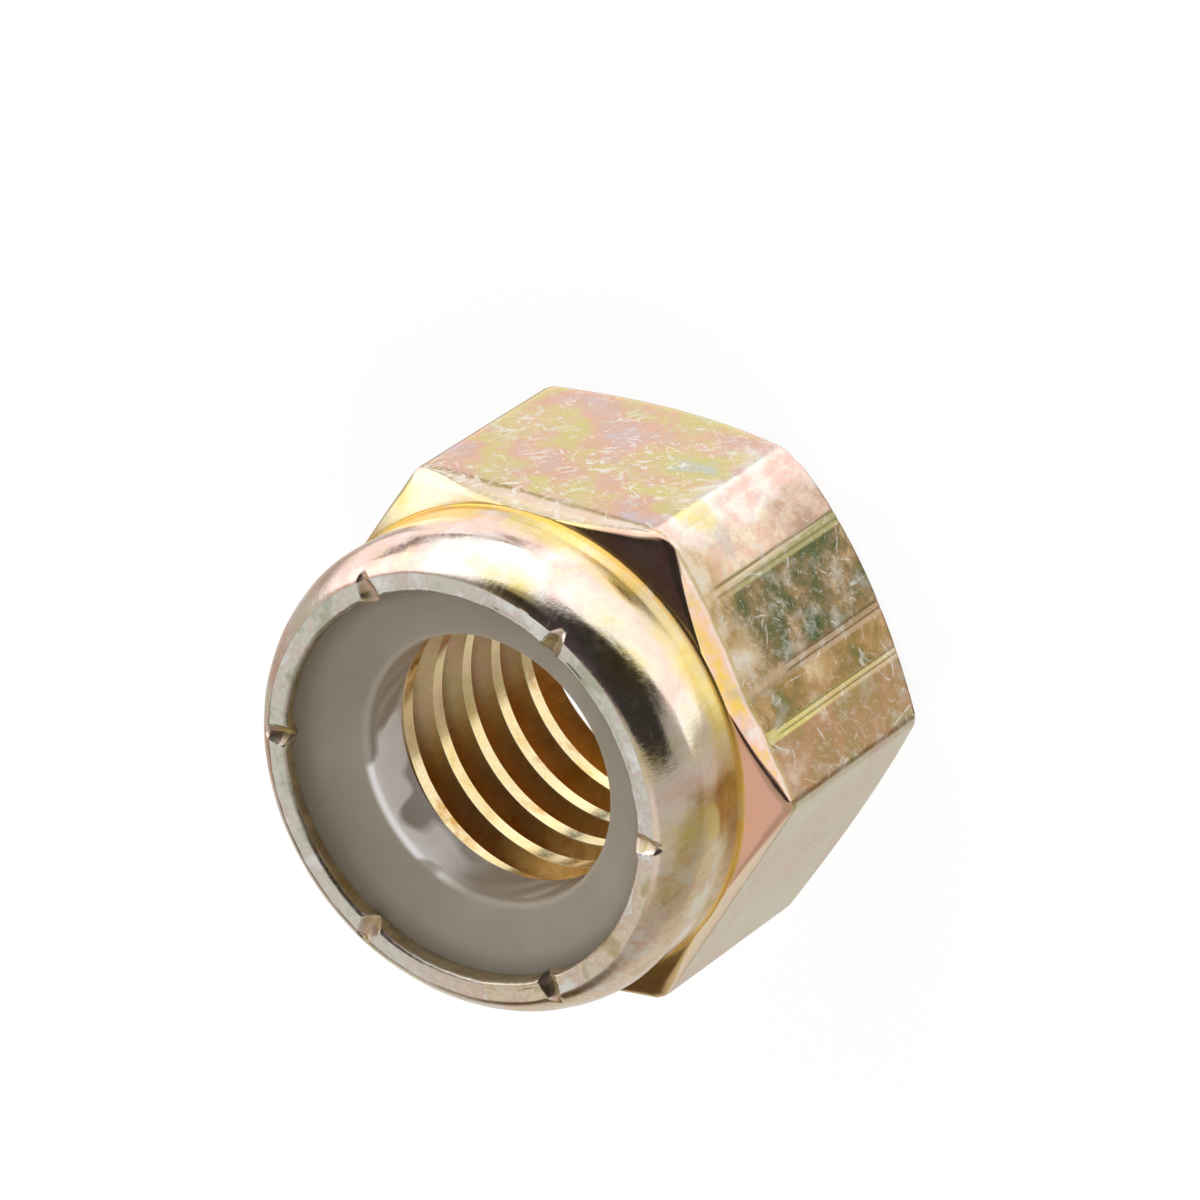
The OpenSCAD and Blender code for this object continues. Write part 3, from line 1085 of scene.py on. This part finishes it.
def zinc_in_crimped_notches():
    """Zinc in the struck notches: dull straw and pink, too rough to mirror anything."""
    return zinc_plate(
        "zinc_in_crimped_notches", 0.8,
        [(0.36, "#C2AE7C"), (0.46, "#D6C8A0"), (0.54, "#D9BFB0"), (0.64, "#C8C2AE")],
        mottle=0.12, rough=(0.26, 0.42), scuffs=0.3, haze=0.4,
    )


def zinc_inside_lip_painted_shade():
    """Zinc on the lip's inner wall: a darker, duller straw, which is painted shade under the rim and sets
    the rim off from the ring.
    """
    return zinc_plate(
        "zinc_inside_lip_painted_shade", 1.5,
        [(0.38, "#BCA878"), (0.5, "#D2C4A2"), (0.62, "#B4A488")],
        mottle=0.12, rough=(0.28, 0.42), scuffs=0.3, haze=0.3,
    )


def nut_finishes():
    """The nut's finishes, in the places that ZONE_FINISH gives them."""
    return [
        zinc_on_drawn_flats(),
        zinc_on_turned_chamfers(),
        zinc_on_crimped_collar(),
        zinc_on_rolled_rim(),
        zinc_on_tapped_thread(),
        zinc_on_die_lined_flat(),
        zinc_in_crimped_notches(),
        zinc_inside_lip_painted_shade(),
    ]


def hole_painted_highlights(tree, place):
    """Colour of the hole's wall: patches of painted highlight on one side, fading back to dull grey on the
    other.
    """
    sheen = add(tree, "ShaderNodeTexNoise", {
        "Vector": place, "Scale": per_mm(2.4), "Detail": 1, "Distortion": 0.3,
    })
    # Painted highlight: near-white patches stand for the light that the hole's wall mirrors
    tones = [(0.43, "#A6A29B"), (0.5, "#FBFCFE")]
    hole_highlights = add(tree, "ShaderNodeValToRGB", {"Fac": sheen.outputs["Fac"]}, tones).outputs["Color"]
    hole_highlights = add(tree, "ShaderNodeMix", {
        0: reach_share(tree, place, HOLE_HIGHLIGHT_HEADING, 1.2, 3.8, 0.3), UNDER: linear("#A39C90"), OVER: hole_highlights,
    }, data_type="RGBA").outputs[MIXED]
    return add(tree, "ShaderNodeMix", {
        0: reach_share(tree, place, HIGHLIGHT_FADE_HEADING, 1.5, 3.8, 0.3), UNDER: hole_highlights, OVER: linear("#A39A8C"),
    }, data_type="RGBA").outputs[MIXED]


def nylon_tint(tree, place):
    """Colour of the ring: cloudy warm grey, with painted shade that darkens it under the lip, and painted
    highlights on the hole's wall inside.
    """
    cloud = add(tree, "ShaderNodeTexNoise", {"Vector": place, "Scale": per_mm(3), "Detail": 3})
    tones = [(0.3, "#827A6C"), (0.7, "#8C8578")]
    tint = add(tree, "ShaderNodeValToRGB", {"Fac": cloud.outputs["Fac"]}, tones).outputs["Color"]
    # Painted shade: the ring darkens towards its outer edge, under the lip
    tint = add(tree, "ShaderNodeMix", {
        0: reach_share(tree, place, "radius", 6.9, 7.7), UNDER: tint, OVER: linear("#6E6558"),
    }, data_type="RGBA").outputs[MIXED]
    return add(tree, "ShaderNodeMix", {
        0: reach_share(tree, place, "radius", 5.52, 5.26), UNDER: tint, OVER: hole_painted_highlights(tree, place),
    }, data_type="RGBA").outputs[MIXED]


def moulded_natural_nylon():
    """Natural nylon as moulded: milky and slightly translucent, with a soft sheen and a burnished hole,
    whose wall also has painted highlights.
    """
    material, tree, output = blank_material("moulded_natural_nylon")
    place = add(tree, "ShaderNodeTexCoord").outputs["Object"]
    tint = nylon_tint(tree, place)
    drawn_round = add(tree, "ShaderNodeMapping", {"Vector": place, "Scale": (0.15, 0.15, 1)})
    swirl = add(tree, "ShaderNodeTexNoise", {
        "Vector": drawn_round.outputs[0], "Scale": per_mm(0.25), "Detail": 2, "Distortion": 0.4,
    })
    bump = add(tree, "ShaderNodeBump", {
        "Height": swirl.outputs["Fac"], "Strength": 0.3, "Distance": 0.01 * MM,
    })
    burnished = reach_share(tree, place, UP, 13.2, 12.8, 0.15)
    roughness = add(tree, "ShaderNodeMix", {0: burnished, 2: 0.5, 3: 0.16})
    shader = add(tree, "ShaderNodeBsdfPrincipled", {
        "Base Color": tint, "Roughness": roughness.outputs[0], "IOR": 1.53, "Normal": bump.outputs[0],
        "Subsurface Weight": 0.35, "Subsurface Scale": 1 * MM, "Subsurface Radius": (1.0, 0.85, 0.65),
    })
    tree.links.new(shader.outputs[0], output.inputs["Surface"])
    return material


def white_paper():
    """Matt white paper: it reads as plain white, still takes a soft shadow, and is clear from below."""
    material, tree, output = blank_material("white_paper")
    paper = add(tree, "ShaderNodeBsdfDiffuse", {"Color": linear("#FFFFFF")})
    glow = add(tree, "ShaderNodeEmission", {"Color": linear("#FFFFFF"), "Strength": 1.0})
    rays = add(tree, "ShaderNodeLightPath")
    share = add(tree, "ShaderNodeMath", {
        0: rays.outputs["Is Camera Ray"], 1: FLOOR_WHITE,
    }, operation="MULTIPLY")
    sheet = add(tree, "ShaderNodeMixShader", {0: share.outputs[0], 1: paper.outputs[0], 2: glow.outputs[0]})
    behind = add(tree, "ShaderNodeNewGeometry").outputs["Backfacing"]
    clear = add(tree, "ShaderNodeBsdfTransparent")
    sheet = add(tree, "ShaderNodeMixShader", {0: behind, 1: sheet.outputs[0], 2: clear.outputs[0]})
    tree.links.new(sheet.outputs[0], output.inputs["Surface"])
    return material


def add_nut():
    """The steel nut, with its worn and crimped shape and its helical thread."""
    finishes = nut_finishes()
    nut = to_object(build_sleeve(), "nut_body_detailed", finishes)
    cutter = to_object(build_thread_cutter(), "thread_cutter", finishes)
    cut_thread(nut, cutter)
    soften(nut, NUT_SHARP)
    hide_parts("nut_body")
    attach(nut, "root")


def add_ring():
    """The plastic locking ring."""
    ring = to_object(build_ring(), "locking_ring_detailed", [moulded_natural_nylon()])
    soften(ring, RING_SHARP)
    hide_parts("locking_ring")
    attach(ring, "root")


def add_floor():
    """The sheet of white paper, which metal doesn't mirror."""
    bm = bmesh.new()
    bmesh.ops.create_grid(bm, x_segments=1, y_segments=1, size=FLOOR_HALF)
    bmesh.ops.translate(bm, vec=(0, 0, -FLOOR_GAP), verts=bm.verts[:])
    floor = to_object(bm, "floor", [white_paper()])
    floor.visible_glossy = False


def view_heading(right, up, towards):
    """A heading told as the photograph shows it, in the nut's own frame."""
    back = (Vector(CAMERA_PLACE) - Vector(CAMERA_AIM)).normalized()
    level = Vector((0, 1, 0)).cross(back).normalized()
    turn = Matrix.Rotation(math.radians(CAMERA_ROLL), 3, back)
    side = turn @ level
    above = turn @ back.cross(level)
    return (side * right + above * up + back * towards).normalized()


def lobe_share(tree, heading, middle, half, edge):
    """Share of 1 within the half angle round a heading of the view, with a soft edge, in degrees."""
    facing = add(tree, "ShaderNodeVectorMath", {
        0: heading, 1: view_heading(*middle),
    }, operation="DOT_PRODUCT")
    share = add(tree, "ShaderNodeMapRange", {
        "Value": facing.outputs["Value"], "From Min": math.cos(math.radians(half + edge)),
        "From Max": math.cos(math.radians(half - edge)),
    }, interpolation_type="SMOOTHSTEP")
    return share.outputs[0]


def gap_share(tree, heading, pole, half, edge):
    """Share of 1 along a thin strip that lies square to a pole of the view."""
    facing = add(tree, "ShaderNodeVectorMath", {
        0: heading, 1: view_heading(*pole),
    }, operation="DOT_PRODUCT")
    away = add(tree, "ShaderNodeMath", {0: facing.outputs["Value"]}, operation="ABSOLUTE")
    share = add(tree, "ShaderNodeMapRange", {
        "Value": away.outputs[0], "From Min": math.sin(math.radians(half + edge)),
        "From Max": math.sin(math.radians(half - edge)),
    }, interpolation_type="SMOOTHSTEP")
    return share.outputs[0]


def lit(colour, level):
    """A colour of the tent at the given level of light."""
    return [c * level for c in linear(colour)]


def light_tent():
    """A pale tent round the nut, with bright and dark parts that show in the plating."""
    world = bpy.data.worlds.new("studio")
    bpy.context.scene.world = world
    world.use_nodes = True
    tree = world.node_tree
    tree.nodes.clear()
    output = add(tree, "ShaderNodeOutputWorld")
    heading = add(tree, "ShaderNodeTexCoord").outputs["Generated"]
    parts = []
    for middle, half, edge, colour, level in TENT_PARTS:
        parts.append((lobe_share(tree, heading, middle, half, edge), lit(colour, level)))
    middle, length, fade, pole, half, edge, colour, level = TENT_GAP
    ends = lobe_share(tree, heading, middle, length, fade)
    strip = gap_share(tree, heading, pole, half, edge)
    gap = add(tree, "ShaderNodeMath", {0: ends, 1: strip}, operation="MULTIPLY").outputs[0]
    parts.append((gap, lit(colour, level)))
    parts.append((add(tree, "ShaderNodeLightPath").outputs["Is Camera Ray"], linear("#FFFFFF")))
    tone = lit(*TENT_BASE)
    for share, light in parts:
        tone = add(tree, "ShaderNodeMix", {
            0: share, UNDER: tone, OVER: light,
        }, data_type="RGBA").outputs[MIXED]
    background = add(tree, "ShaderNodeBackground", {"Color": tone, "Strength": 1.0})
    tree.links.new(background.outputs[0], output.inputs["Surface"])


def softbox(name, place, size, watts):
    """A square lamp that faces the nut and doesn't show in its plating."""
    lamp = bpy.data.lights.new(name, "AREA")
    lamp.shape = "SQUARE"
    lamp.size = size * MM
    lamp.energy = watts
    obj = bpy.data.objects.new(name, lamp)
    obj.location = Vector(place) * MM
    obj.rotation_euler = (-obj.location).to_track_quat("-Z", "Y").to_euler()
    obj.visible_glossy = False
    bpy.context.scene.collection.objects.link(obj)


def aim_camera():
    """The photograph's view: a long lens, with the nut's +Y side up."""
    camera = bpy.data.cameras.new("camera")
    camera.lens = CAMERA_LENS
    camera.clip_start = 0.01
    camera.clip_end = 10
    obj = bpy.data.objects.new("camera", camera)
    back = (Vector(CAMERA_PLACE) - Vector(CAMERA_AIM)).normalized()
    right = Vector((0, 1, 0)).cross(back).normalized()
    level = Matrix((right, back.cross(right), back)).transposed().to_4x4()
    roll = Matrix.Rotation(math.radians(CAMERA_ROLL), 4, "Z")
    obj.matrix_world = Matrix.Translation(Vector(CAMERA_PLACE) * MM) @ level @ roll
    bpy.context.scene.collection.objects.link(obj)
    bpy.context.scene.camera = obj


add_nut()
add_ring()
add_floor()
light_tent()
for lamp in SOFTBOXES:
    softbox(*lamp)
aim_camera()
bpy.context.scene.view_settings.view_transform = "Standard"
